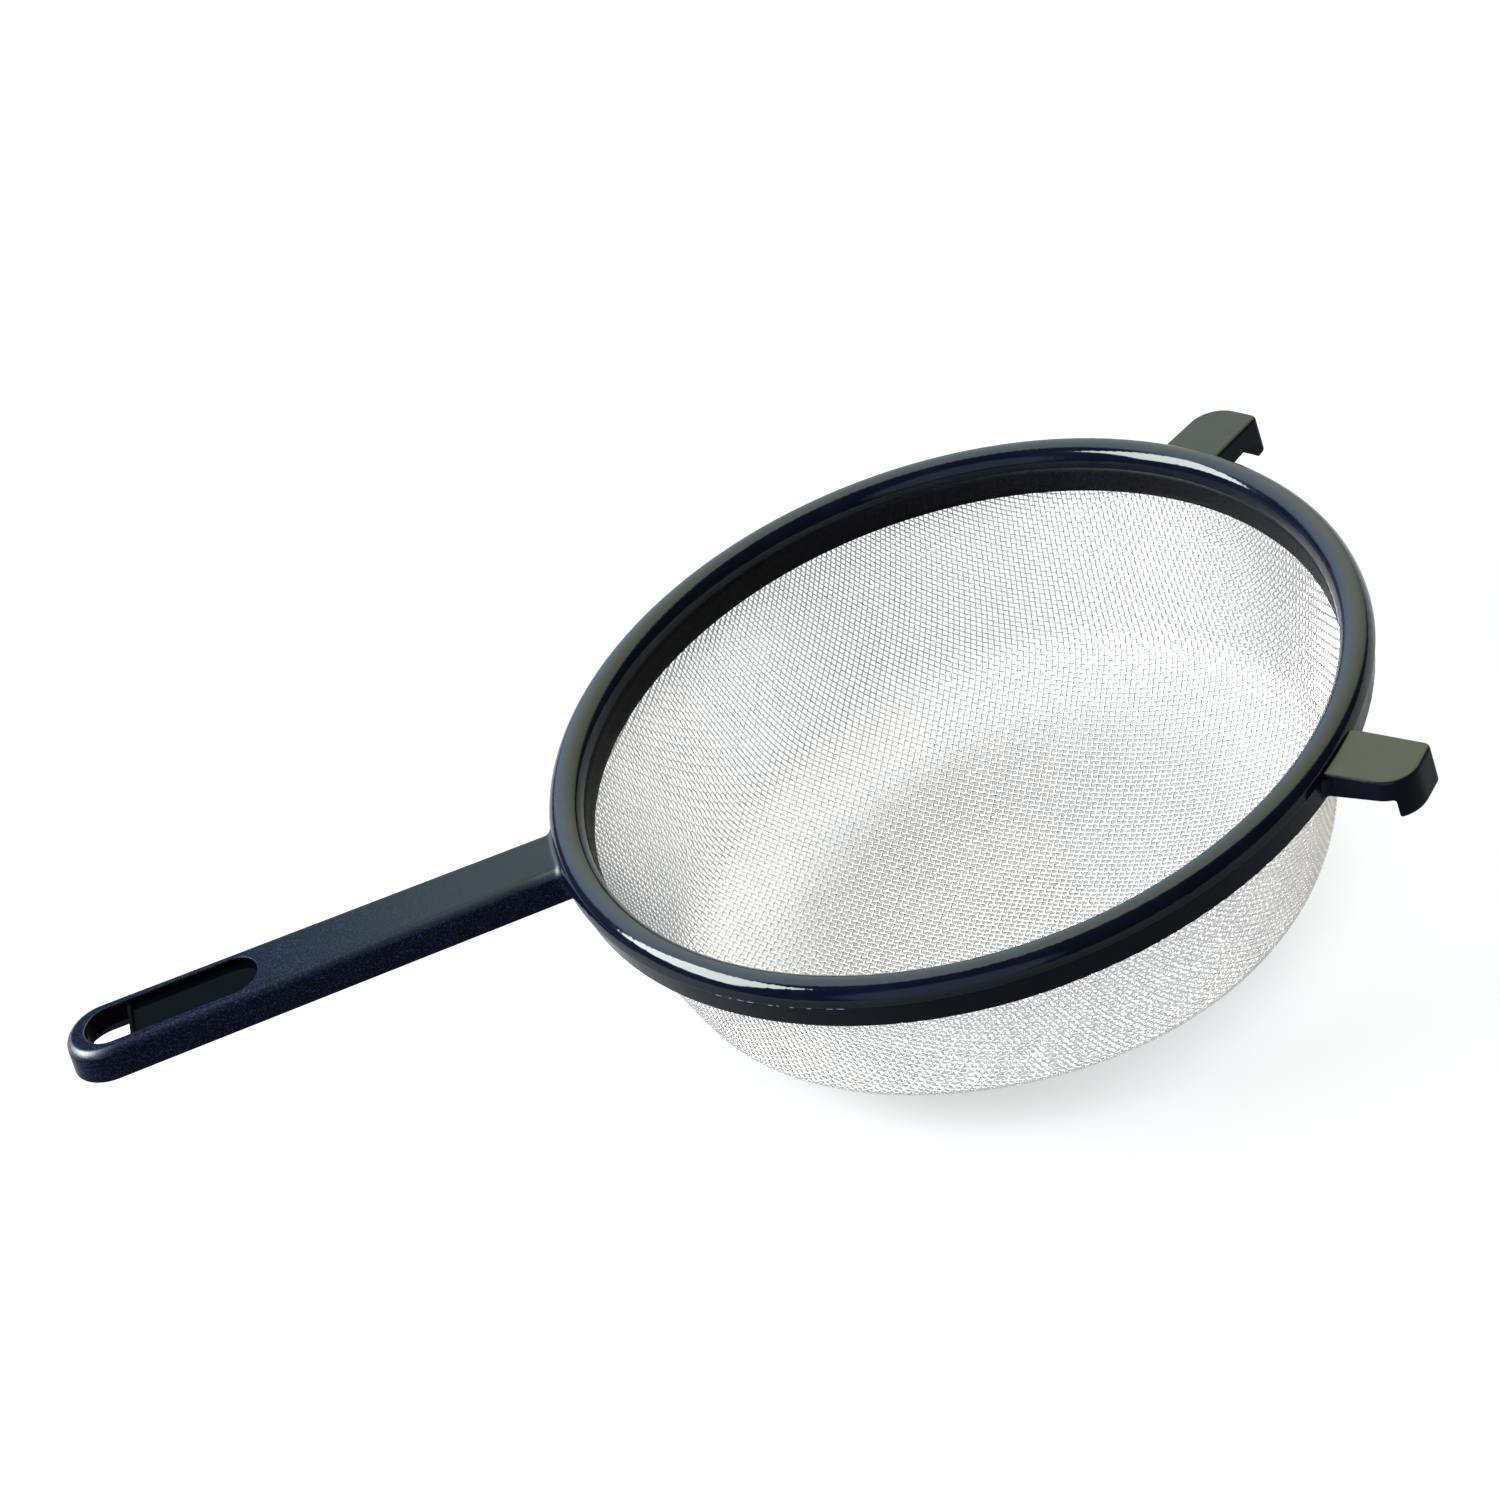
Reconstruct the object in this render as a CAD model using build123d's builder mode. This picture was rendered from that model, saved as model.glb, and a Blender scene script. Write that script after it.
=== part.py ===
from build123d import *
import math
import os

os.makedirs("parts", exist_ok=True)

# Wire-mesh kitchen strainer: a round bowl of woven wire held in a moulded plastic rim,
# with a straight handle and two rest hooks. Millimetres, +Z up. The origin is the middle
# of the bowl's flat foot, under the rim's centre. The handle runs along -X.

# Driving sizes of the rim
rim_radius = 102.0
rim_depth = 12.2
lip_width = 8.5
lip_height = 5.0
skirt_wall = 1.6
skirt_draft_inset = 0.5
band_step = 0.35
band_draft_inset = 1.3
seam_round = 0.3
arm_clearance = 0.02
band_foot_round = 0.5

# Driving sizes of the woven bowl
bowl_depth = 59.8
cloth_thickness = 0.9
cloth_clearance = 0.2
wall_draft = 17.0
bowl_corner_radius = 14.0
dome_radius = 205.0
foot_radius = 12.0
hem_height = 5.5

# Driving sizes of the plain grid of openings that stands for the weave
grid_margin = 8.0
grid_hub_margin = 1.0
grid_pitch = 14.2
grid_opening = 12.0
window_bar = 2.4
window_rows = 3
window_width = 12.0
window_height = 12.0
window_pitch = 13.8
window_top_gap = 2.0
window_depth = 40.0

# Driving sizes of the handle
handle_length = 126.4
handle_root_width = 16.4
handle_tip_width = 19.1
handle_depth = 8.8
handle_drop = 3.2
handle_droop = 1.52
handle_flare = 1.2
handle_edge_round = 2.8
handle_foot_round = 0.5
handle_wall = 2.0
handle_skin = 4.0
handle_root_round = 2.2
handle_root_overlap = 6.0
hollow_root_inset = 5.0
rib_count = 4
rib_thickness = 1.4

# Driving sizes of the hanging hole and the sunken panel beside it
slot_width = 13.0
slot_length = 44.9
slot_end_wall = 5.0
slot_edge_round = 0.4
hole_length = 11.2
hole_wall_depth = 5.5
hole_collar = 1.6
panel_depth = 2.0
panel_bead_height = 1.0
panel_bead_width = 0.8

# Driving sizes of the hooks
hook_angle = 40.3
hook_root_width = 16.6
hook_tip_width = 15.6
hook_reach = 19.7
hook_rise = 1.2
hook_fall = 4.0
hook_thickness = 5.2
hook_drop = 11.2
prong_thickness = 3.8
hook_outer_corner_radius = 8.0
hook_inner_corner_radius = 2.0
hook_edge_round = 1.0
hook_crotch_radius = 0.8
prong_tip_round = 1.4
hook_root_round = 2.0

# One overrun serves all cuts
overrun = 2.0

# Heights and radii that the pieces share
rim_top = bowl_depth + rim_depth
rim_foot = bowl_depth
seam_height = rim_top - lip_height
lip_inner_radius = rim_radius - lip_width
lip_middle_radius = rim_radius - lip_width / 2
skirt_foot_radius = lip_inner_radius - skirt_draft_inset
skirt_outer_radius = skirt_foot_radius + skirt_wall
cloth_outer_radius = skirt_outer_radius + cloth_clearance + cloth_thickness
band_inner_radius = cloth_outer_radius + cloth_clearance
band_top_radius = rim_radius - band_step
band_foot_radius = band_top_radius - band_draft_inset
hem_top = rim_foot + hem_height


def lip_outline():
    """Half section of the upper ring: rounded lip, seat and inner skirt."""
    with BuildSketch() as outline:
        with BuildLine():
            inner = Line((skirt_foot_radius, rim_foot), (lip_inner_radius, seam_height))
            EllipticalCenterArc((lip_middle_radius, seam_height), lip_width / 2, lip_height, arc_size=180)
            Polyline(
                (rim_radius, seam_height),
                (skirt_outer_radius, seam_height),
                (skirt_outer_radius, rim_foot),
                inner @ 0,
            )
        make_face()
    return outline.sketch


def band_outline():
    """Half section of the lower band, which carries the handle and hooks."""
    with BuildSketch() as outline:
        with BuildLine():
            Polyline(
                (band_inner_radius, rim_foot),
                (band_foot_radius, rim_foot),
                (band_top_radius, seam_height),
                (band_inner_radius, seam_height),
                close=True,
            )
        make_face()
    return outline.sketch


def bowl_outline(inset, top):
    """Half section of the bowl's outside or inside: flat foot, dome, corner and drafted wall."""
    draft = math.radians(wall_draft)
    dome_centre = math.sqrt(dome_radius**2 - foot_radius**2)
    arc_radius = dome_radius - inset
    foot_edge = math.sqrt(arc_radius**2 - (dome_centre - inset) ** 2)
    wall_top = cloth_outer_radius - inset / math.cos(draft)
    # Distance down the wall's line to where it meets the dome's circle
    ahead = -wall_top * math.sin(draft) + (dome_centre - rim_foot) * math.cos(draft)
    apart = wall_top**2 + (dome_centre - rim_foot) ** 2 - arc_radius**2
    wall_length = -ahead + math.sqrt(ahead**2 - apart)
    meet = (wall_top - wall_length * math.sin(draft), rim_foot - wall_length * math.cos(draft))
    with BuildSketch() as outline:
        with BuildLine():
            foot = Line((0, inset), (foot_edge, inset))
            RadiusArc(foot @ 1, meet, -arc_radius)
            wall = Line(meet, (wall_top, rim_foot))
            upright = Line(wall @ 1, (cloth_outer_radius - inset, top))
            Polyline(upright @ 1, (0, top), foot @ 0)
        make_face()
        fillet(vertices().sort_by_distance(meet)[0], bowl_corner_radius - inset)
    return outline.sketch


# Upper ring: a glossy rounded lip with a skirt that lines the inside of the rim
with BuildPart() as lip_ring:
    with BuildSketch(Plane.XZ):
        add(lip_outline())
    revolve(axis=Axis.Z)
    fillet(edges().filter_by(GeomType.CIRCLE).group_by(SortBy.RADIUS)[-1], seam_round)
lip_ring.part.label = "lip_ring"
export_step(lip_ring.part, "parts/lip_ring.step")

# Lower band: closes the rim around the cloth's edge
with BuildPart() as rim_band:
    with BuildSketch(Plane.XZ):
        add(band_outline())
    revolve(axis=Axis.Z)
    fillet(edges().filter_by(GeomType.CIRCLE).group_by(SortBy.RADIUS)[-1], seam_round)
    foot_edges = edges().filter_by(GeomType.CIRCLE).group_by(Axis.Z)[0]
    fillet(foot_edges.group_by(SortBy.RADIUS)[-1], band_foot_round)
rim_band.part.label = "rim_band"
export_step(rim_band.part, "parts/rim_band.step")

# Windows round the wall, as many as fit with a bar between them at the lowest row's foot
window_heights = [rim_foot - window_top_gap - window_height / 2 - i * window_pitch for i in range(window_rows)]
window_foot = window_heights[-1] - window_height / 2
window_foot_radius = cloth_outer_radius - (rim_foot - window_foot) * math.tan(math.radians(wall_draft))
window_columns = int(2 * math.pi * window_foot_radius / (window_width + window_bar))

# Middles of the openings in the floor, clear of the foot and of the windows
half_opening = grid_opening / 2
grid_radius = window_foot_radius - grid_margin
grid_hub_radius = foot_radius + grid_hub_margin
grid_lines = [(i + 0.5) * grid_pitch for i in range(-int(grid_radius / grid_pitch) - 1, int(grid_radius / grid_pitch) + 1)]
grid_spots = [
    (x, y)
    for x in grid_lines
    for y in grid_lines
    if math.hypot(abs(x) + half_opening, abs(y) + half_opening) <= grid_radius
    and math.hypot(abs(x) - half_opening, abs(y) - half_opening) >= grid_hub_radius
]

# Bowl of woven cloth, as a closed shell one cloth thick, with its edge upright in the rim
with BuildPart() as mesh_bowl:
    with BuildSketch(Plane.XZ):
        add(bowl_outline(0, hem_top))
    revolve(axis=Axis.Z)
    with BuildSketch(Plane.XZ):
        add(bowl_outline(cloth_thickness, hem_top + overrun))
    revolve(axis=Axis.Z, mode=Mode.SUBTRACT)
    # Openings in the floor
    with BuildSketch():
        with Locations(*grid_spots):
            Rectangle(grid_opening, grid_opening)
    extrude(amount=bowl_depth / 2, both=True, mode=Mode.SUBTRACT)
    # Openings round the wall and its round corner
    with Locations(*[(0, 0, height) for height in window_heights]):
        with PolarLocations(cloth_outer_radius, window_columns, start_angle=180 / window_columns):
            Box(window_depth, window_width, window_height, mode=Mode.SUBTRACT)
mesh_bowl.part.label = "mesh_bowl"
export_step(mesh_bowl.part, "parts/mesh_bowl.step")


def rim_block_outline(clearance, stepped):
    """Half section of a solid block with the rim's outside, grown by a clearance."""
    with BuildSketch() as outline:
        with BuildLine():
            EllipticalCenterArc(
                (lip_middle_radius, seam_height), lip_width / 2 + clearance, lip_height + clearance, arc_size=90
            )
            if stepped:
                Polyline(
                    (rim_radius + clearance, seam_height),
                    (band_top_radius + clearance, seam_height - seam_round),
                    (band_foot_radius + clearance, rim_foot),
                )
            else:
                TangentArc(
                    (rim_radius + clearance, seam_height),
                    (band_foot_radius + clearance, rim_foot),
                    tangent=(0, -1),
                )
            Polyline(
                (band_foot_radius + clearance, rim_foot),
                (band_foot_radius + clearance, rim_foot - overrun),
                (lip_inner_radius, rim_foot - overrun),
                (lip_inner_radius, rim_top + clearance),
                (lip_middle_radius, rim_top + clearance),
            )
        make_face()
    return outline.sketch


# Solid blocks of the rim: a smooth one, to blend the handle into, and one with the band's
# step, to cut the handle and the hooks to the rim's surface
with BuildPart() as blend_block:
    with BuildSketch(Plane.XZ):
        add(rim_block_outline(0, False))
    revolve(axis=Axis.Z)
with BuildPart() as cut_block:
    with BuildSketch(Plane.XZ):
        add(rim_block_outline(arm_clearance, True))
    revolve(axis=Axis.Z)

# The handle lies in its own plane, which droops a little from the rim to the tip
droop = math.radians(handle_droop)
handle_plane = Plane(
    origin=(-rim_radius, 0, rim_top - handle_drop),
    x_dir=(-math.cos(droop), 0, -math.sin(droop)),
    z_dir=(-math.sin(droop), 0, math.cos(droop)),
)
tip_centre = handle_length - handle_tip_width / 2
slot_centre = handle_length - slot_end_wall - slot_length / 2
hole_start = handle_length - slot_end_wall - hole_length
hollow_end = hole_start - hole_collar
hollow_middle = (hollow_root_inset + hollow_end) / 2
rib_spacing = (hollow_end - hollow_root_inset) / (rib_count + 1)
handle_full_width = handle_tip_width + 2 * handle_flare
root_window_width = handle_full_width + handle_foot_round


def handle_outline(start, grow):
    """Plan of the handle from a start line to its round tip, grown outwards by an amount."""
    root_half = handle_root_width / 2 + grow
    tip_half = handle_tip_width / 2 + grow
    with BuildSketch() as outline:
        with BuildLine():
            near = Line((start, -root_half), (tip_centre, -tip_half))
            tip = ThreePointArc(near @ 1, (tip_centre + tip_half, 0), (tip_centre, tip_half))
            Polyline(tip @ 1, (start, root_half), near @ 0)
        make_face()
    return outline.sketch


# Hollow under the handle: a drafted pocket with cross ribs, shallower around the hanging hole
with BuildPart() as hollow:
    with BuildSketch(handle_plane.offset(-handle_skin)):
        add(handle_outline(hollow_root_inset, -handle_wall))
    with BuildSketch(handle_plane.offset(-handle_depth)):
        add(handle_outline(hollow_root_inset, handle_flare - handle_wall))
    loft(ruled=True)
    with BuildSketch(handle_plane.offset(-handle_depth)):
        add(handle_outline(hollow_root_inset, handle_flare - handle_wall))
    extrude(amount=-overrun)
    with BuildSketch(handle_plane):
        with Locations((hollow_end, 0)):
            Rectangle(handle_length, handle_full_width, align=(Align.MIN, Align.CENTER))
    extrude(amount=-hole_wall_depth, mode=Mode.SUBTRACT)
    with BuildSketch(handle_plane):
        with Locations((hollow_middle, 0)):
            with GridLocations(rib_spacing, rib_spacing, rib_count, 1):
                Rectangle(rib_thickness, handle_full_width)
    extrude(amount=-handle_depth - overrun, mode=Mode.SUBTRACT)

# Handle: one bar with a slot near its tip that is part hanging hole and part sunken panel
with BuildPart() as handle:
    with BuildSketch(handle_plane):
        add(handle_outline(-handle_root_overlap, 0))
    with BuildSketch(handle_plane.offset(handle_foot_round - handle_depth)):
        add(handle_outline(-handle_root_overlap, handle_flare))
    loft(ruled=True)
    with BuildSketch(handle_plane.offset(handle_foot_round - handle_depth)):
        add(handle_outline(-handle_root_overlap, handle_flare))
    with BuildSketch(handle_plane.offset(-handle_depth)):
        add(handle_outline(-handle_root_overlap, handle_flare - handle_foot_round))
    loft(ruled=True)
    root_point = handle_plane.from_local_coords((-handle_root_overlap, 0, 0))
    tip_point = handle_plane.from_local_coords((tip_centre, 0, 0))
    top_face = faces().sort_by_distance(tip_point)[0]
    fillet(top_face.edges().sort_by_distance(root_point)[1:], handle_edge_round)
    bar = handle.part
    add(blend_block.part)
    root_edges = new_edges(bar, blend_block.part, combined=handle.part)
    root_edges = root_edges.filter_by(lambda e: e.center().X < -lip_middle_radius - lip_width / 4)
    fillet(root_edges.filter_by(lambda e: e.center().Z > rim_top - handle_depth), handle_root_round)
    with BuildSketch():
        with Locations((-lip_middle_radius, 0)):
            Rectangle(handle_length * 2, root_window_width, align=(Align.MAX, Align.CENTER))
    extrude(amount=rim_top + overrun, mode=Mode.INTERSECT)
    add(cut_block.part, mode=Mode.SUBTRACT)
    add(hollow.part, mode=Mode.SUBTRACT)
    with BuildSketch(handle_plane):
        with Locations((slot_centre, 0)):
            SlotOverall(slot_length, slot_width)
    extrude(amount=-panel_depth, mode=Mode.SUBTRACT)
    slot_rim = faces().sort_by_distance(handle_plane.from_local_coords((slot_centre / 2, 0, 0)))[0]
    fillet(slot_rim.inner_wires()[0].edges(), slot_edge_round)
    with BuildSketch(handle_plane):
        with Locations((slot_centre, 0)):
            SlotOverall(slot_length, slot_width)
        with Locations((hole_start, 0)):
            Rectangle(handle_length, slot_width, align=(Align.MIN, Align.CENTER), mode=Mode.INTERSECT)
    extrude(amount=-handle_depth - overrun, mode=Mode.SUBTRACT)
    with BuildSketch(handle_plane.offset(-panel_depth)):
        with Locations((hole_start, 0)):
            Rectangle(panel_bead_width, slot_width, align=(Align.MAX, Align.CENTER))
    extrude(amount=panel_bead_height)
handle.part.label = "handle"
export_step(handle.part, "parts/handle.step")

# Two hooks that rest on the far edge of a pot: a flat plate whose top falls away a little
# from above the seam, then a short prong that turns down at its end. The end's corner
# nearer the other hook is tight and the other one is widely rounded.
hook_end_radius = rim_radius + hook_reach
prong_inner_radius = hook_end_radius - prong_thickness
plate_foot = seam_height - hook_thickness
plate_share = hook_thickness / (rim_depth - lip_height)
collar_foot_radius = band_top_radius - band_draft_inset * plate_share
fall = math.radians(hook_fall)
for name, side in (("hook_left", 1), ("hook_right", -1)):
    turn = math.radians(side * hook_angle)
    hook_plane = Plane(
        origin=(0, 0, seam_height), x_dir=(math.cos(turn), math.sin(turn), 0), z_dir=(0, 0, 1)
    )
    top_plane = Plane(
        origin=hook_plane.from_local_coords((rim_radius, 0, hook_rise)),
        z_dir=(math.sin(fall) * math.cos(turn), math.sin(fall) * math.sin(turn), math.cos(fall)),
    )
    with BuildSketch() as plan:
        with BuildLine():
            Polyline(
                (lip_middle_radius, -hook_root_width / 2),
                (hook_end_radius + overrun, -hook_tip_width / 2),
                (hook_end_radius + overrun, hook_tip_width / 2),
                (lip_middle_radius, hook_root_width / 2),
                close=True,
            )
        make_face()
        Circle(hook_end_radius, mode=Mode.INTERSECT)
        for across, corner_radius in (
            (-side * hook_tip_width / 2, hook_inner_corner_radius),
            (side * hook_tip_width / 2, hook_outer_corner_radius),
        ):
            fillet(plan.vertices().sort_by_distance((hook_end_radius, across, 0))[0], corner_radius)
    with BuildPart() as hook:
        with BuildSketch(hook_plane.offset(-hook_thickness)):
            add(plan.sketch)
        extrude(amount=hook_thickness + hook_rise + overrun)
        split(bisect_by=top_plane, keep=Keep.BOTTOM)
        fillet(faces().sort_by(Axis.Z)[-1].outer_wire().edges(), hook_edge_round)
        with BuildSketch(Plane.XZ):
            with BuildLine():
                Polyline(
                    (lip_middle_radius, seam_height),
                    (band_top_radius, seam_height),
                    (collar_foot_radius, plate_foot),
                    (lip_middle_radius, plate_foot),
                    close=True,
                )
            make_face()
        revolve(axis=Axis.Z)
        root_corners = [
            hook_plane.from_local_coords((band_top_radius, across, -hook_thickness / 2))
            for across in (-hook_root_width / 2, hook_root_width / 2)
        ]
        fillet([edges().sort_by_distance(corner)[0] for corner in root_corners], hook_root_round)
        with BuildSketch(hook_plane.offset(-hook_thickness / 2)):
            add(plan.sketch)
            Circle(prong_inner_radius, mode=Mode.SUBTRACT)
        extrude(amount=hook_thickness / 2 - hook_drop)
        crotch_point = hook_plane.from_local_coords((prong_inner_radius, 0, -hook_thickness))
        crotch = edges().filter_by(GeomType.CIRCLE).sort_by_distance(crotch_point)[0]
        fillet(crotch, hook_crotch_radius)
        fillet(faces().sort_by(Axis.Z)[0].outer_wire().edges(), prong_tip_round)
        add(cut_block.part, mode=Mode.SUBTRACT)
    hook.part.label = name
    export_step(hook.part, f"parts/{name}.step")
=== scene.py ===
import math

import bpy
import numpy as np
from mathutils import Matrix, Vector


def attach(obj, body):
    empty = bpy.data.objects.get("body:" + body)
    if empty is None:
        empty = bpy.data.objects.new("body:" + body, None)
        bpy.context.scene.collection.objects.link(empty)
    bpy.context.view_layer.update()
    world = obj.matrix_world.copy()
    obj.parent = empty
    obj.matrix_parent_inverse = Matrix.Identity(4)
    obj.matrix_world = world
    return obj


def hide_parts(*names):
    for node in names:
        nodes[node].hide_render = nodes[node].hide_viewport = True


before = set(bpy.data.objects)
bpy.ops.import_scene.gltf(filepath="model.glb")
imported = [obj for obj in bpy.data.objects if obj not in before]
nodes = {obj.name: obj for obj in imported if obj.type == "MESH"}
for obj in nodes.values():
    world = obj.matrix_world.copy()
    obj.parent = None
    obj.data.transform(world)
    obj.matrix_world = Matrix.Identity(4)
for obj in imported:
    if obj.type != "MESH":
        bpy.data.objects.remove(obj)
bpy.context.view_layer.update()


# Lower rim band
# The real band is the round part of a single injection moulding in dark navy plastic.
# It has a satin moulded skin with a faint unevenness, and the wire bowl's hem sits inside it.
def new_finish(name):
    """A new material, its node tree and the sockets of its surface shader."""
    finish = bpy.data.materials.new(name)
    finish.use_nodes = True
    return finish, finish.node_tree, finish.node_tree.nodes["Principled BSDF"].inputs


def add(tree, kind, **settings):
    """A new node of the given kind with its settings."""
    node = tree.nodes.new("ShaderNode" + kind)
    for key, value in settings.items():
        setattr(node, key, value)
    return node


def feed(tree, socket, value):
    """The socket takes another node's result, or is set to a plain number or colour."""
    if isinstance(value, bpy.types.NodeSocket):
        tree.links.new(value, socket)
    else:
        socket.default_value = value


def grain(tree, cell, detail=2.0, roughness=0.5):
    """Noise in the part's own coordinates with cells of the given size in metres."""
    noise = add(tree, "TexNoise")
    feed(tree, noise.inputs["Vector"], add(tree, "TexCoord").outputs["Object"])
    feed(tree, noise.inputs["Scale"], 1.0 / cell)
    feed(tree, noise.inputs["Detail"], detail)
    feed(tree, noise.inputs["Roughness"], roughness)
    return noise.outputs["Fac"]


def spread(tree, value, span, onto=(0.0, 1.0)):
    """A value from one span carried over softly onto another, held at the ends."""
    ramp = add(tree, "MapRange", interpolation_type="SMOOTHSTEP")
    for name, number in zip(("From Min", "From Max", "To Min", "To Max"), (*span, *onto)):
        feed(tree, ramp.inputs[name], number)
    feed(tree, ramp.inputs["Value"], value)
    return ramp.outputs["Result"]


def tint(tree, share, first, second):
    """Two colours, plain or from other nodes, mixed by a share from 0 to 1."""
    mix = add(tree, "Mix", data_type="RGBA")
    feed(tree, mix.inputs["Factor"], share)
    for name, colour in (("A", first), ("B", second)):
        feed(tree, mix.inputs[name], (*colour, 1.0) if isinstance(colour, tuple) else colour)
    return mix.outputs["Result"]


def relief(tree, height, depth, strength=1.0):
    """A bump of the given depth in metres."""
    bump = add(tree, "Bump")
    feed(tree, bump.inputs["Distance"], depth)
    feed(tree, bump.inputs["Strength"], strength)
    feed(tree, bump.inputs["Height"], height)
    return bump.outputs["Normal"]


def put_on(node_name, finish):
    """The CAD node keeps its shape and takes the finish on every face."""
    mesh = nodes[node_name].data
    mesh.materials.clear()
    mesh.materials.append(finish)
    for face in mesh.polygons:
        face.material_index = 0


plastic_ior = 1.45
# Most of the noise in a grain lies between these
most_grain = (0.3, 0.7)
band_gloss, band_roughness = 0.03, (0.22, 0.34)
band_navy, band_navy_worn = (0.0004, 0.0008, 0.0034), (0.0010, 0.0014, 0.0046)
band_cloud, band_wear_span = 0.018, (0.35, 0.7)
band_ripple, band_ripple_depth = 0.0035, 0.00003

band_finish, tree, surface = new_finish("band_satin_navy")
surface["IOR"].default_value = plastic_ior
surface["Specular IOR Level"].default_value = band_gloss
cloudy = grain(tree, band_cloud, 3.0)
worn = spread(tree, cloudy, band_wear_span)
feed(tree, surface["Base Color"], tint(tree, worn, band_navy, band_navy_worn))
feed(tree, surface["Roughness"], spread(tree, cloudy, most_grain, band_roughness))
feed(tree, surface["Normal"], relief(tree, grain(tree, band_ripple), band_ripple_depth))
put_on("rim_band", band_finish)


# Handle
# The handle belongs to the same moulding as the band and runs out from it with a soft root.
# Its top carries a fine sparked texture from the mould and its sides are smoother. The slot
# and the sunken panel in it came from a polished insert in the mould.
def facing(tree, axis):
    """How far the surface faces along an axis, from -1 to 1."""
    parts = add(tree, "SeparateXYZ")
    feed(tree, parts.inputs["Vector"], add(tree, "NewGeometry").outputs["Normal"])
    return parts.outputs[axis]


def place(tree, axis):
    """How far along an axis a spot of the surface lies, in metres."""
    parts = add(tree, "SeparateXYZ")
    feed(tree, parts.inputs["Vector"], add(tree, "TexCoord").outputs["Object"])
    return parts.outputs[axis]


def worked_out(tree, operation, *values):
    """The result of a sum on plain numbers and other nodes' results."""
    sum_node = add(tree, "Math", operation=operation)
    for socket, value in zip(sum_node.inputs, values):
        feed(tree, socket, value)
    return sum_node.outputs["Value"]


def between(tree, share, first, second):
    """Two numbers, plain or from other nodes, mixed by a share from 0 to 1."""
    mix = add(tree, "Mix", data_type="FLOAT")
    for name, value in (("Factor", share), ("A", first), ("B", second)):
        feed(tree, mix.inputs[name], value)
    return mix.outputs["Result"]


handle_navy, handle_painted_glint = (0.0008, 0.0013, 0.0042), (0.0080, 0.0140, 0.0400)
handle_painted_light, painted_light_span = (0.0080, 0.0105, 0.0115), (-0.20, -0.095)
handle_roughness, rough_facing = (0.24, 0.42), (0.1, 0.8)
spark_cell, painted_glint_span, spark_facing = 0.00042, (0.52, 0.66), (0.25, 0.75)
spark_depth, spark_strength = 0.00006, (0.12, 0.85)
side_gloss, edge_facing = 0.03, (0.25, 0.6)
tip_span, tip_gloss = (-0.225, -0.214), (0.50, 0.0)
root_span, root_gloss = (-0.112, -0.104), (0.05, 0.30)
top_span, top_gloss, top_facing = (-0.22, -0.10), (0.012, 0.05), (0.86, 0.985)

handle_finish, tree, surface = new_finish("handle_sparked_navy")
surface["IOR"].default_value = plastic_ior
upright, along = facing(tree, "Z"), place(tree, "X")
sparked = spread(tree, upright, spark_facing)
speckle = grain(tree, spark_cell, 2.0, 0.6)
# The specks follow the sparked texture's own grain; their bright blue is painted glints
navy_with_painted_glints = tint(tree, spread(tree, speckle, painted_glint_span), handle_navy, handle_painted_glint)
# Painted light: the upward face of the top is painted lighter towards the rim and darker towards
# the tip
painted_light_share = worked_out(tree, "MULTIPLY", sparked, spread(tree, along, painted_light_span))
feed(tree, surface["Base Color"], tint(tree, painted_light_share, navy_with_painted_glints, handle_painted_light))
feed(tree, surface["Roughness"], spread(tree, upright, rough_facing, handle_roughness))
# The rounded edges at the tip and the root are the most polished, the flat top the least
tip_polish = spread(tree, along, tip_span, tip_gloss)
root_polish = spread(tree, along, root_span, root_gloss)
end_polish = worked_out(tree, "ADD", tip_polish, root_polish)
rounded = spread(tree, upright, edge_facing)
edge_polish = worked_out(tree, "MULTIPLY_ADD", end_polish, rounded, side_gloss)
top_polish = spread(tree, along, top_span, top_gloss)
flat_top = spread(tree, upright, top_facing)
feed(tree, surface["Specular IOR Level"], between(tree, flat_top, edge_polish, top_polish))
sparks = spread(tree, sparked, (0.0, 1.0), spark_strength)
feed(tree, surface["Normal"], relief(tree, speckle, spark_depth, sparks))
put_on("handle", handle_finish)

slot_span, slot_half_width, slot_lip = (-0.2236, -0.1783), 0.0066, 0.0007
slot_gloss, slot_roughness = 0.008, (0.06, 0.12)
slot_navy, slot_navy_worn = (0.0002, 0.0004, 0.0008), (0.0005, 0.0007, 0.0013)
slot_blot = 0.004
rim_edge, handle_top, handle_droop = -0.102, 0.0688, math.radians(1.52)

slot_finish, tree, surface = new_finish("slot_polished_navy")
surface["IOR"].default_value = plastic_ior
surface["Specular IOR Level"].default_value = slot_gloss
blot = grain(tree, slot_blot)
feed(tree, surface["Base Color"], tint(tree, blot, slot_navy, slot_navy_worn))
feed(tree, surface["Roughness"], spread(tree, blot, most_grain, slot_roughness))
handle_mesh = nodes["handle"].data
handle_mesh.materials.append(slot_finish)
for face in handle_mesh.polygons:
    middle = nodes["handle"].matrix_world @ face.center
    top_here = handle_top - (rim_edge - middle.x) * math.tan(handle_droop)
    in_plan = slot_span[0] < middle.x < slot_span[1] and abs(middle.y) < slot_half_width
    if in_plan and middle.z < top_here - slot_lip:
        face.material_index = 1


# Rest hooks
# Two flat tongues with a short prong, moulded with the band, that catch the edge of a pot.
# They have the satin skin of the band, with a finer grain and a duller plate whose upward face is
# painted a lighter grey than the sides as painted light.
hook_navy, hook_painted_top_grey, painted_top_facing = (0.0008, 0.0014, 0.0058), (0.0034, 0.0032, 0.0032), (0.3, 0.9)
hook_sheen = (1.0, 0.98, 0.66, 1.0)
hook_side_gloss, plate_gloss, plate_facing = 0.04, (0.30, 0.17), (0.1, 0.9)
right_to_left = (-0.05, 0.05)
hook_cloud, hook_roughness = 0.006, (0.20, 0.28)
hook_ripple, hook_ripple_depth = 0.0009, 0.000008

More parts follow.
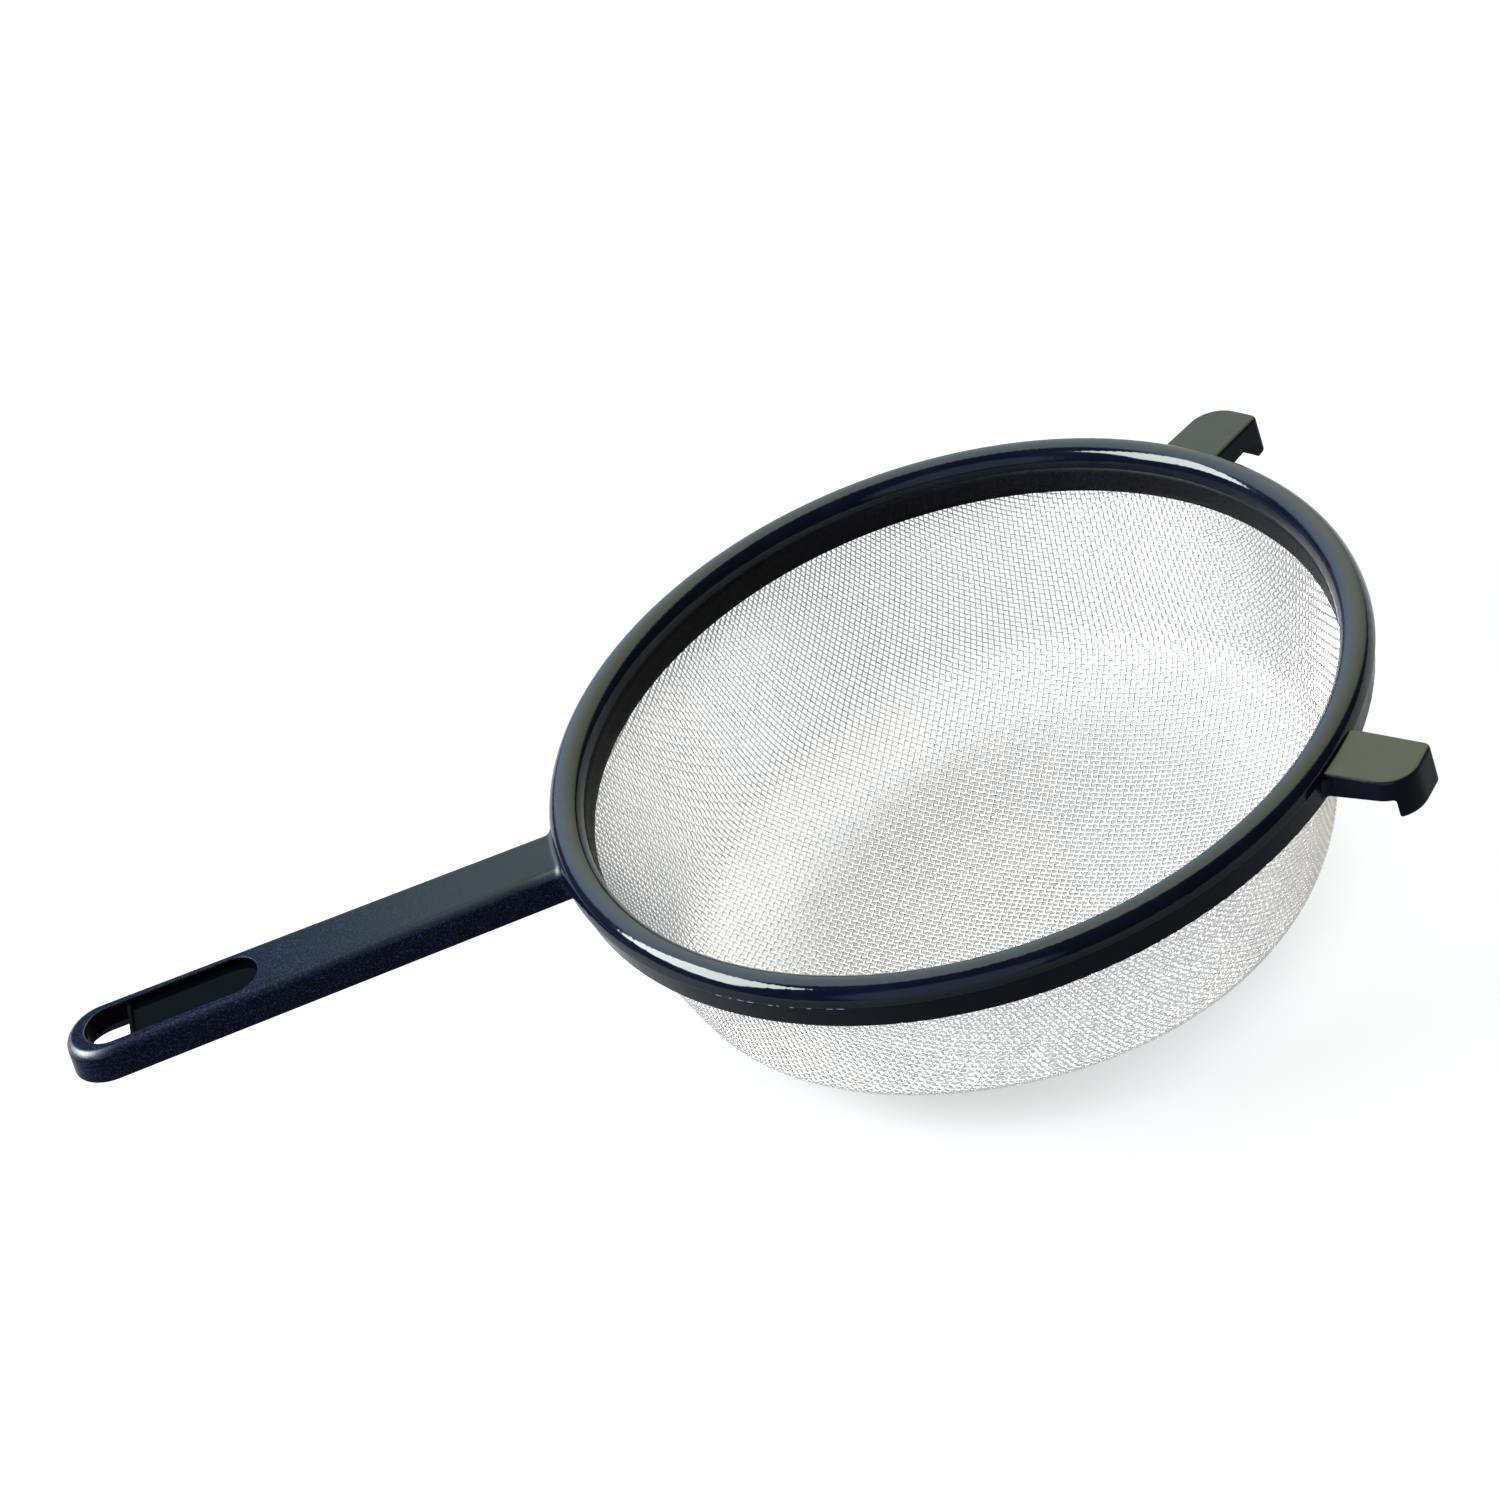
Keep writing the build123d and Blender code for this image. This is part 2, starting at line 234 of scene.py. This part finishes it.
hook_finish, tree, surface = new_finish("hook_satin_navy")
surface["IOR"].default_value = plastic_ior
surface["Specular Tint"].default_value = hook_sheen
upright = facing(tree, "Z")
plate = spread(tree, upright, plate_facing)
plate_polish = spread(tree, place(tree, "Y"), right_to_left, plate_gloss)
polish = between(tree, plate, hook_side_gloss, plate_polish)
feed(tree, surface["Specular IOR Level"], polish)
# Painted light: faces turned upwards are painted a lighter grey than the sides
painted_top_share = spread(tree, upright, painted_top_facing)
feed(tree, surface["Base Color"], tint(tree, painted_top_share, hook_navy, hook_painted_top_grey))
cloudy = grain(tree, hook_cloud, 3.0)
feed(tree, surface["Roughness"], spread(tree, cloudy, most_grain, hook_roughness))
feed(tree, surface["Normal"], relief(tree, grain(tree, hook_ripple), hook_ripple_depth))
put_on("hook_left", hook_finish)
put_on("hook_right", hook_finish)


# Wire bowl
# Plain-weave stainless cloth, 18 wires to the inch, drawn over a round punch into a bowl.
# Drawing it shears the square weave: it stays nearly square on the floor and leans on the walls.
bowl_depth = 0.0598
hem_height, hem_top_gap = 0.0055, 0.0003
hem_radius = 0.0957
dome_radius = 0.205
foot_radius = 0.012
corner_radius = 0.014
wall_draft = math.radians(17.0)
cloth_inset = 0.00045
wire_radius = 0.00021
wire_sides = 5

# The middle of the cloth in section is a shallow dome, a round corner and a straight wall. The
# corner touches both others, so its centre is where a line beside the wall comes nearest to
# the right distance from the dome's centre.
dome = dome_radius - cloth_inset
dome_centre = math.sqrt(dome_radius**2 - foot_radius**2)
bend = corner_radius - cloth_inset
wall_top = hem_radius - cloth_inset / math.cos(wall_draft)
heights = np.linspace(0.005, 0.06, 20001)
beside_wall = (
    wall_top - (bowl_depth - heights) * math.tan(wall_draft) - bend / math.cos(wall_draft)
)
nearest = abs(np.hypot(beside_wall, heights - dome_centre) - (dome - bend)).argmin()
bend_r, bend_z = beside_wall[nearest], heights[nearest]
dome_angle = math.asin(bend_r / (dome - bend))
dome_run = dome * dome_angle
bend_run = dome_run + bend * (math.pi / 2 - wall_draft - dome_angle)
wall_foot_z = bend_z - bend * math.sin(wall_draft)
wall_run = bend_run + (bowl_depth - wall_foot_z) / math.cos(wall_draft)
hem_run = wall_run + hem_height - hem_top_gap


def cloth_section(run):
    """Radius, height and slope of the cloth's middle at a distance along it from the centre."""
    on_dome = np.minimum(run, dome_run) / dome
    on_bend = dome_angle + (np.clip(run, dome_run, bend_run) - dome_run) / bend
    up_wall = np.clip(run, bend_run, wall_run) - bend_run
    in_hem = np.maximum(run - wall_run, 0.0)
    in_dome = run <= dome_run
    radius = np.where(in_dome, dome * np.sin(on_dome), bend_r + bend * np.sin(on_bend))
    radius = radius + up_wall * math.sin(wall_draft)
    height = np.where(
        in_dome, dome_centre - dome * np.cos(on_dome), bend_z - bend * np.cos(on_bend)
    )
    height = np.maximum(height + up_wall * math.cos(wall_draft) + in_hem, cloth_inset)
    slope = np.where(in_hem > 0, math.pi / 2, np.where(in_dome, on_dome, on_bend))
    return radius, height, slope


# The cloth is not perfectly round: the punch leaves it slightly squarish half way up
square_share = 0.0145
square_turn = math.radians(24.5)
square_radius = 0.08

# Places on the cloth laid flat are in decimetres, so that the shares below are of one size
flat_unit = 0.1


def on_cloth(flat_x, flat_y):
    """Point and outward normal on the bowl for a place on the cloth laid flat."""
    run = np.hypot(flat_x, flat_y) * flat_unit
    turn = np.arctan2(flat_y, flat_x)
    radius, height, slope = cloth_section(run)
    half_way_up = np.sin(np.clip(height / bowl_depth, 0, 1) * math.pi)
    squarish = np.clip(half_way_up, 0, 1) * np.clip(radius / square_radius, 0, 1) ** 2
    radius = radius * (1 + square_share * np.cos(4 * (turn - square_turn)) * squarish)
    point = np.stack([radius * np.cos(turn), radius * np.sin(turn), height], -1)
    normal = np.stack(
        [np.sin(slope) * np.cos(turn), np.sin(slope) * np.sin(turn), -np.cos(slope)], -1
    )
    return point, normal


# How many warp and weft wires lie between the centre and a place on the flat cloth. Each term
# is a power of x, a power of y and its share: the first two give the set's direction and
# pitch, the others how the drawing shears it.
warp_count = (
    (1, 0, 56.07), (0, 1, -29.86), (2, 0, 0.66), (1, 1, 0.11), (0, 2, -0.08),
    (3, 0, -1.2), (2, 1, -2.09), (1, 2, 0.45), (0, 3, 1.25),
)
weft_count = (
    (1, 0, 42.64), (0, 1, 55.91), (2, 0, -3.83), (1, 1, 3.12), (0, 2, -0.11),
    (3, 0, -2.37), (2, 1, 1.19), (1, 2, 3.31), (0, 3, 1.81),
)


def counted(terms, x, y):
    """The count and how fast it grows along x and y."""
    total, along_x, along_y = 0.0, 0.0, 0.0
    for i, j, share in terms:
        total = total + share * x**i * y**j
        along_x = along_x + (share * i * x ** (i - 1) * y**j if i else 0.0)
        along_y = along_y + (share * j * x**i * y ** (j - 1) if j else 0.0)
    return total, along_x, along_y


# Each crossing of a warp with a weft wire is found by going out from the centre in steps, and
# at each step putting right several times what the two counts are off by
wires_out = 96
farthest = 1.7
least_area = 800.0
settled_within = 0.01
steps_out, tries, last_tries = np.linspace(0.1, 1.0, 10), 3, 8
numbers = np.arange(-wires_out, wires_out + 1)
warp_no, weft_no = (n.astype(float) for n in np.meshgrid(numbers, numbers, indexing="ij"))
flat_x, flat_y = np.zeros_like(warp_no), np.zeros_like(warp_no)
for way_out in steps_out:
    for _ in range(tries if way_out < 1 else last_tries):
        warps, warps_x, warps_y = counted(warp_count, flat_x, flat_y)
        wefts, wefts_x, wefts_y = counted(weft_count, flat_x, flat_y)
        warps_off, wefts_off = warp_no * way_out - warps, weft_no * way_out - wefts
        area = warps_x * wefts_y - warps_y * wefts_x
        area = np.where(abs(area) < least_area, least_area, area)
        step_x = (warps_off * wefts_y - wefts_off * warps_y) / area
        step_y = (wefts_off * warps_x - warps_off * wefts_x) / area
        flat_x = np.clip(flat_x + step_x, -farthest, farthest)
        flat_y = np.clip(flat_y + step_y, -farthest, farthest)
warps_off = counted(warp_count, flat_x, flat_y)[0] - warp_no
wefts_off = counted(weft_count, flat_x, flat_y)[0] - weft_no
settled = np.hypot(warps_off, wefts_off) < settled_within
crossing = settled & (np.hypot(flat_x, flat_y) * flat_unit < hem_run)
point, normal = on_cloth(flat_x, flat_y)
# A warp wire is on the outside of the cloth at every other crossing and inside at the rest
warp_lift = wire_radius * np.where((warp_no + weft_no) % 2 > 0.5, 1.0, -1.0)[..., None]


def bent_line(middle, out, lift):
    """The line of one wire over and under those it crosses, and its outward side."""
    path = np.empty((2 * len(middle) - 1, 3))
    path[0::2] = middle + out * lift
    path[1::2] = (middle[:-1] + middle[1:]) / 2
    up = np.empty_like(path)
    up[0::2] = out
    up[1::2] = out[:-1] + out[1:]
    return path, up


def round_wire(path, up):
    """The corners of a round wire along a line, one ring after another."""
    along = np.gradient(path, axis=0)
    along /= np.linalg.norm(along, axis=1, keepdims=True)
    side = np.cross(along, up)
    side /= np.linalg.norm(side, axis=1, keepdims=True)
    up = np.cross(side, along)
    turns = (np.arange(wire_sides) * 2 * math.pi / wire_sides)[None, :, None]
    ring = up[:, None] * np.cos(turns) + side[:, None] * np.sin(turns)
    return (path[:, None] + wire_radius * ring).reshape(-1, 3)


def into_scene(name, data):
    """A new object in the scene."""
    thing = bpy.data.objects.new(name, data)
    bpy.context.scene.collection.objects.link(thing)
    return thing


def wires(name, centres, normals, lifts, there, rows, finish):
    """One piece with some of the wires of a set, each one from edge to edge of the cloth."""
    corners, quads, ends = [], [], []
    used = 0
    for row in rows:
        on = np.flatnonzero(there[row])
        if len(on) < 3:
            continue
        on = np.arange(on[0], on[-1] + 1)
        if not there[row][on].all():
            groups = np.split(on, np.flatnonzero(~there[row][on]))
            on = max(groups, key=len)[1:]
        if len(on) < 3:
            continue
        path, up = bent_line(centres[row, on], normals[row, on], lifts[row, on])
        corners.append(round_wire(path, up))
        ring_start = used + np.arange(len(path) - 1)[:, None] * wire_sides
        side_no = np.arange(wire_sides)[None]
        here, beside = ring_start + side_no, ring_start + (side_no + 1) % wire_sides
        around = [here, beside, beside + wire_sides, here + wire_sides]
        quads.append(np.stack(around, -1).reshape(-1, 4))
        last_ring = used + (len(path) - 1) * wire_sides
        ends.append([used + k for k in reversed(range(wire_sides))])
        ends.append([last_ring + k for k in range(wire_sides)])
        used += len(path) * wire_sides
    corners, quads = np.concatenate(corners), np.concatenate(quads)
    loops = np.concatenate([quads.ravel(), np.array(ends).ravel()])
    end_starts = len(quads) * 4 + np.arange(len(ends)) * wire_sides
    starts = np.concatenate([np.arange(len(quads)) * 4, end_starts])
    mesh = bpy.data.meshes.new(name)
    mesh.vertices.add(len(corners))
    mesh.vertices.foreach_set("co", corners.ravel())
    mesh.loops.add(len(loops))
    mesh.loops.foreach_set("vertex_index", loops.astype(np.int32))
    mesh.polygons.add(len(starts))
    mesh.polygons.foreach_set("loop_start", starts.astype(np.int32))
    mesh.update(calc_edges=True)
    mesh.validate()
    mesh.polygons.foreach_set("use_smooth", np.ones(len(starts), bool))
    mesh.materials.append(finish)
    piece = into_scene(name, mesh)
    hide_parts("mesh_bowl")
    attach(piece, "root")


steel, steel_bright = (0.55, 0.52, 0.515), (0.59, 0.56, 0.545)
steel_patch, patch_span = 0.02, (0.35, 0.65)
draw_mark, steel_roughness = 0.0012, (0.30, 0.42)

steel_finish, tree, surface = new_finish("bright_drawn_steel")
surface["Metallic"].default_value = 1.0
patchy = spread(tree, grain(tree, steel_patch, 3.0), patch_span)
feed(tree, surface["Base Color"], tint(tree, patchy, steel, steel_bright))
drawn = grain(tree, draw_mark)
feed(tree, surface["Roughness"], spread(tree, drawn, most_grain, steel_roughness))

# Where the warp goes over, the weft goes under. Each set is made in four pieces.
warp = (point, normal, warp_lift, crossing)
weft = [np.swapaxes(laid, 0, 1) for laid in (point, normal, -warp_lift, crossing)]
quarters = (range(0, 70), range(70, 96), range(96, 123), range(123, len(numbers)))
for set_name, laid in (("warp", warp), ("weft", weft)):
    for number, rows in enumerate(quarters, 1):
        wires(f"{set_name}_wires_{number}", *laid, rows, steel_finish)


# Upper ring
# A separate glossy navy ring, pressed over the cloth's hem and welded to the band.
# Its lip is polished, and its skirt hangs down inside the bowl and covers the hem.
lip_navy, lip_navy_worn = (0.0010, 0.0016, 0.0050), (0.0018, 0.0024, 0.0060)
lip_sheen = (1.0, 0.99, 0.92, 1.0)
lip_gloss, lip_facing = (0.06, 0.23), (-0.1, 0.45)
lip_wear, lip_wear_span, lip_roughness = 0.012, (0.4, 0.7), (0.05, 0.10)
lip_ripple, lip_ripple_depth = 0.006, 0.000006

lip_finish, tree, surface = new_finish("lip_polished_navy")
surface["IOR"].default_value = plastic_ior
surface["Specular Tint"].default_value = lip_sheen
upright = facing(tree, "Z")
feed(tree, surface["Specular IOR Level"], spread(tree, upright, lip_facing, lip_gloss))
wear = grain(tree, lip_wear, 3.0)
worn = spread(tree, wear, lip_wear_span)
feed(tree, surface["Base Color"], tint(tree, worn, lip_navy, lip_navy_worn))
feed(tree, surface["Roughness"], spread(tree, wear, most_grain, lip_roughness))
feed(tree, surface["Normal"], relief(tree, grain(tree, lip_ripple, 1.0), lip_ripple_depth))
put_on("lip_ring", lip_finish)


# Skirt skin
# The inner face of the skirt has the rough skin that the mould's core left on it. It is made
# as a lathe-turned sleeve a hair's breadth thick, just clear of the skirt.
skirt_foot = (0.0930, 0.0598)
skirt_head = (0.0935, 0.0668)
skin_gap = 0.00001
skin_thickness = 0.00005
skin_turns = 240
skin_rows = (0.0, 0.25, 0.5, 0.75, 1.0)
rim_facing = 0.7
skin_grey, skin_grey_worn = (0.0012, 0.0013, 0.0018), (0.0060, 0.0055, 0.0060)
skin_gloss, skin_roughness = 0.06, (0.35, 0.6)
skin_cell, skin_wear_span = 0.0006, (0.4, 0.7)
skin_depth, skin_strength = 0.00008, 0.8

inner_side = [(skin_gap + skin_thickness, row) for row in skin_rows]
outer_side = [(skin_gap, row) for row in reversed(skin_rows)]
section = [
    (
        skirt_foot[0] + (skirt_head[0] - skirt_foot[0]) * row - depth,
        skirt_foot[1] + (skirt_head[1] - skirt_foot[1]) * row,
    )
    for depth, row in inner_side + outer_side
]
corners = [
    (r * math.cos(turn), r * math.sin(turn), z)
    for turn in (2 * math.pi * k / skin_turns for k in range(skin_turns))
    for r, z in section
]
quads = []
for k in range(skin_turns):
    here, beside = k * len(section), (k + 1) % skin_turns * len(section)
    for i in range(len(section)):
        after = (i + 1) % len(section)
        quads.append((here + i, here + after, beside + after, beside + i))
skin_mesh = bpy.data.meshes.new("skirt_skin")
skin_mesh.from_pydata(corners, [], quads)
for face in skin_mesh.polygons:
    face.use_smooth = abs(face.normal.z) < rim_facing

skin_finish, tree, surface = new_finish("skirt_rough_navy")
surface["IOR"].default_value = plastic_ior
surface["Specular IOR Level"].default_value = skin_gloss
fine = grain(tree, skin_cell, 3.0, 0.65)
worn = spread(tree, fine, skin_wear_span)
feed(tree, surface["Base Color"], tint(tree, worn, skin_grey, skin_grey_worn))
feed(tree, surface["Roughness"], spread(tree, fine, most_grain, skin_roughness))
feed(tree, surface["Normal"], relief(tree, fine, skin_depth, skin_strength))
skin_mesh.materials.append(skin_finish)
skirt_skin = into_scene("skirt_skin", skin_mesh)
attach(skirt_skin, "root")


# Seam flash
# Beads of pale flash that the weld pressed out of the seam between the ring and the band.
# They sit in the groove under the lip, a short way round from the handle.
flash_radius = 0.00008
bead_radius, bead_height = 0.1019, 0.0669
bead_angles, bead_scatter, bead_lengths = np.linspace(-137.0, -119.0, 10), 0.8, (0.2, 1.3)
bead_steps, bead_sides, bead_end = 6, 6, 0.3
flash_navy, flash_pale, flash_cell = (0.02, 0.04, 0.08), (0.16, 0.22, 0.30), 0.0008
flash_gloss, flash_roughness = 0.3, (0.2, 0.4)

bead_places = np.random.default_rng(7)
corners, quads = [], []
for start in bead_angles:
    bead_turn = math.radians(start + bead_places.uniform(-bead_scatter, bead_scatter))
    bead_length = math.radians(bead_places.uniform(*bead_lengths))
    first = len(corners)
    for step in range(bead_steps + 1):
        turn = bead_turn + bead_length * step / bead_steps
        swell = math.sin(math.pi * step / bead_steps)
        thickness = flash_radius * (bead_end + (1 - bead_end) * swell)
        for k in range(bead_sides):
            around = 2 * math.pi * k / bead_sides
            r = bead_radius + thickness * math.cos(around)
            z = bead_height + thickness * math.sin(around)
            corners.append((r * math.cos(turn), r * math.sin(turn), z))
    for step in range(bead_steps):
        ring = first + step * bead_sides
        for k in range(bead_sides):
            here, beside = ring + k, ring + (k + 1) % bead_sides
            quads.append((here, beside, beside + bead_sides, here + bead_sides))
    last = first + bead_steps * bead_sides
    quads.append(tuple(first + k for k in reversed(range(bead_sides))))
    quads.append(tuple(last + k for k in range(bead_sides)))
flash_mesh = bpy.data.meshes.new("seam_flash")
flash_mesh.from_pydata(corners, [], quads)

flash_finish, tree, surface = new_finish("weld_flash_pale")
surface["Specular IOR Level"].default_value = flash_gloss
milky = grain(tree, flash_cell)
feed(tree, surface["Base Color"], tint(tree, milky, flash_navy, flash_pale))
feed(tree, surface["Roughness"], spread(tree, milky, most_grain, flash_roughness))
flash_mesh.materials.append(flash_finish)
seam_flash = into_scene("seam_flash", flash_mesh)
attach(seam_flash, "root")


# Camera
# A long lens about 1.1 m away that looks down at 37 degrees and is turned a little on its
# axis. The first three columns are the way it is turned and the last is where it stands.
camera_data = bpy.data.cameras.new("camera")
camera_data.sensor_width = 36.0
camera_data.lens = 111.13
camera_data.clip_start = 0.01
camera_data.clip_end = 50.0
camera = into_scene("camera", camera_data)
camera.matrix_world = Matrix(
    (
        (0.9388067541868615, 0.343265252720111, 0.028475332625421013, -0.01774081874803905),
        (-0.18291410792460083, 0.566888891947659, -0.8032306102910316, -0.8857561393972826),
        (-0.29186350819394585, 0.7488697820458199, 0.5949871781167798, 0.7329525462054834),
        (0.0, 0.0, 0.0, 1.0),
    )
)
bpy.context.scene.camera = camera


# Floor
# A plain pale studio table, much larger than the strainer, that glows a little so that it stays
# white. The strainer keeps some light off the table right under it, and the glow there is weaker
# too: a painted shadow.
floor_half = 3.0
table_grey, table_grey_light, table_patch = (0.11, 0.11, 0.11), (0.12, 0.12, 0.12), 0.4
table_roughness, table_gloss = 0.9, 0.0
painted_shadow_span, table_glow = (0.050, 0.090), (0.44, 0.74)

floor_corners = [
    (x * floor_half, y * floor_half, 0.0) for x, y in ((-1, -1), (1, -1), (1, 1), (-1, 1))
]
floor_mesh = bpy.data.meshes.new("floor")
floor_mesh.from_pydata(floor_corners, [], [(0, 1, 2, 3)])
floor = into_scene("floor", floor_mesh)
floor_finish, tree, surface = new_finish("pale_table")
surface["Roughness"].default_value = table_roughness
surface["Specular IOR Level"].default_value = table_gloss
surface["Emission Color"].default_value = (1.0, 1.0, 1.0, 1.0)
faint = grain(tree, table_patch, 1.0)
feed(tree, surface["Base Color"], tint(tree, faint, table_grey, table_grey_light))
from_middle = add(tree, "VectorMath", operation="LENGTH")
feed(tree, from_middle.inputs[0], add(tree, "TexCoord").outputs["Object"])
# The glow is weaker in a soft disc under the strainer: a painted shadow
glow = spread(tree, from_middle.outputs["Value"], painted_shadow_span, table_glow)
feed(tree, surface["Emission Strength"], glow)
floor_mesh.materials.append(floor_finish)


# Studio light
# A great soft sheet behind and above the table, a soft box on the left, a weak bluish
# fill in front and a dark room around them.
key_data = bpy.data.lights.new("key_box", "AREA")
key_data.shape = "RECTANGLE"
key_data.size = 1.02
key_data.size_y = 0.85
key_data.energy = 112.0
key_data.color = (0.91, 0.98, 1.0)
key_aim = Vector((0, 0, 0.06))
key_box = into_scene("key_box", key_data)
key_box.location = (-1.273, 0.18, 1.05)
key_box.rotation_euler = (key_box.location - key_aim).to_track_quat("Z", "Y").to_euler()

sheet_way, sheet_edge = (0.188, 0.700, 0.689), (0.55, 0.68)
sheet_warm, sheet_cool = (0.94, 1.0, 0.70), (0.70, 1.0, 1.30)
cool_way, cool_span = (-0.966, 0.259, 0.0), (-0.6, 1.0)
bright_way, brightness = (0.0, 0.0, 1.0), (1.0, 5.8)
fill_way, fill_edge = (-0.402, -0.862, 0.309), (0.86, 0.94)
dark_room, fill_blue = (0.12, 0.13, 0.16), (1.15, 1.3, 2.0)

room = bpy.data.worlds.new("room")
bpy.context.scene.world = room
room.use_nodes = True
tree = room.node_tree
room_light = tree.nodes["Background"].inputs


def towards(tree, direction):
    """How nearly a view into the room points in the given direction: 1 is straight at it."""
    dot = add(tree, "VectorMath", operation="DOT_PRODUCT")
    feed(tree, dot.inputs[0], add(tree, "TexCoord").outputs["Generated"])
    feed(tree, dot.inputs[1], direction)
    return dot.outputs["Value"]


cool_side = spread(tree, towards(tree, cool_way), cool_span)
sheet_brightness = add(tree, "MapRange")
feed(tree, sheet_brightness.inputs["Value"], towards(tree, bright_way))
feed(tree, sheet_brightness.inputs["To Min"], brightness[0])
feed(tree, sheet_brightness.inputs["To Max"], brightness[1])
sheet = add(tree, "VectorMath", operation="SCALE")
feed(tree, sheet.inputs[0], tint(tree, cool_side, sheet_warm, sheet_cool))
feed(tree, sheet.inputs["Scale"], sheet_brightness.outputs["Result"])
in_fill = spread(tree, towards(tree, fill_way), fill_edge)
fill = tint(tree, in_fill, dark_room, fill_blue)
in_sheet = spread(tree, towards(tree, sheet_way), sheet_edge)
feed(tree, room_light["Color"], tint(tree, in_sheet, fill, sheet.outputs["Vector"]))
room_light["Strength"].default_value = 1.0
bpy.context.scene.view_settings.view_transform = "Standard"
bpy.context.scene.view_settings.look = "None"
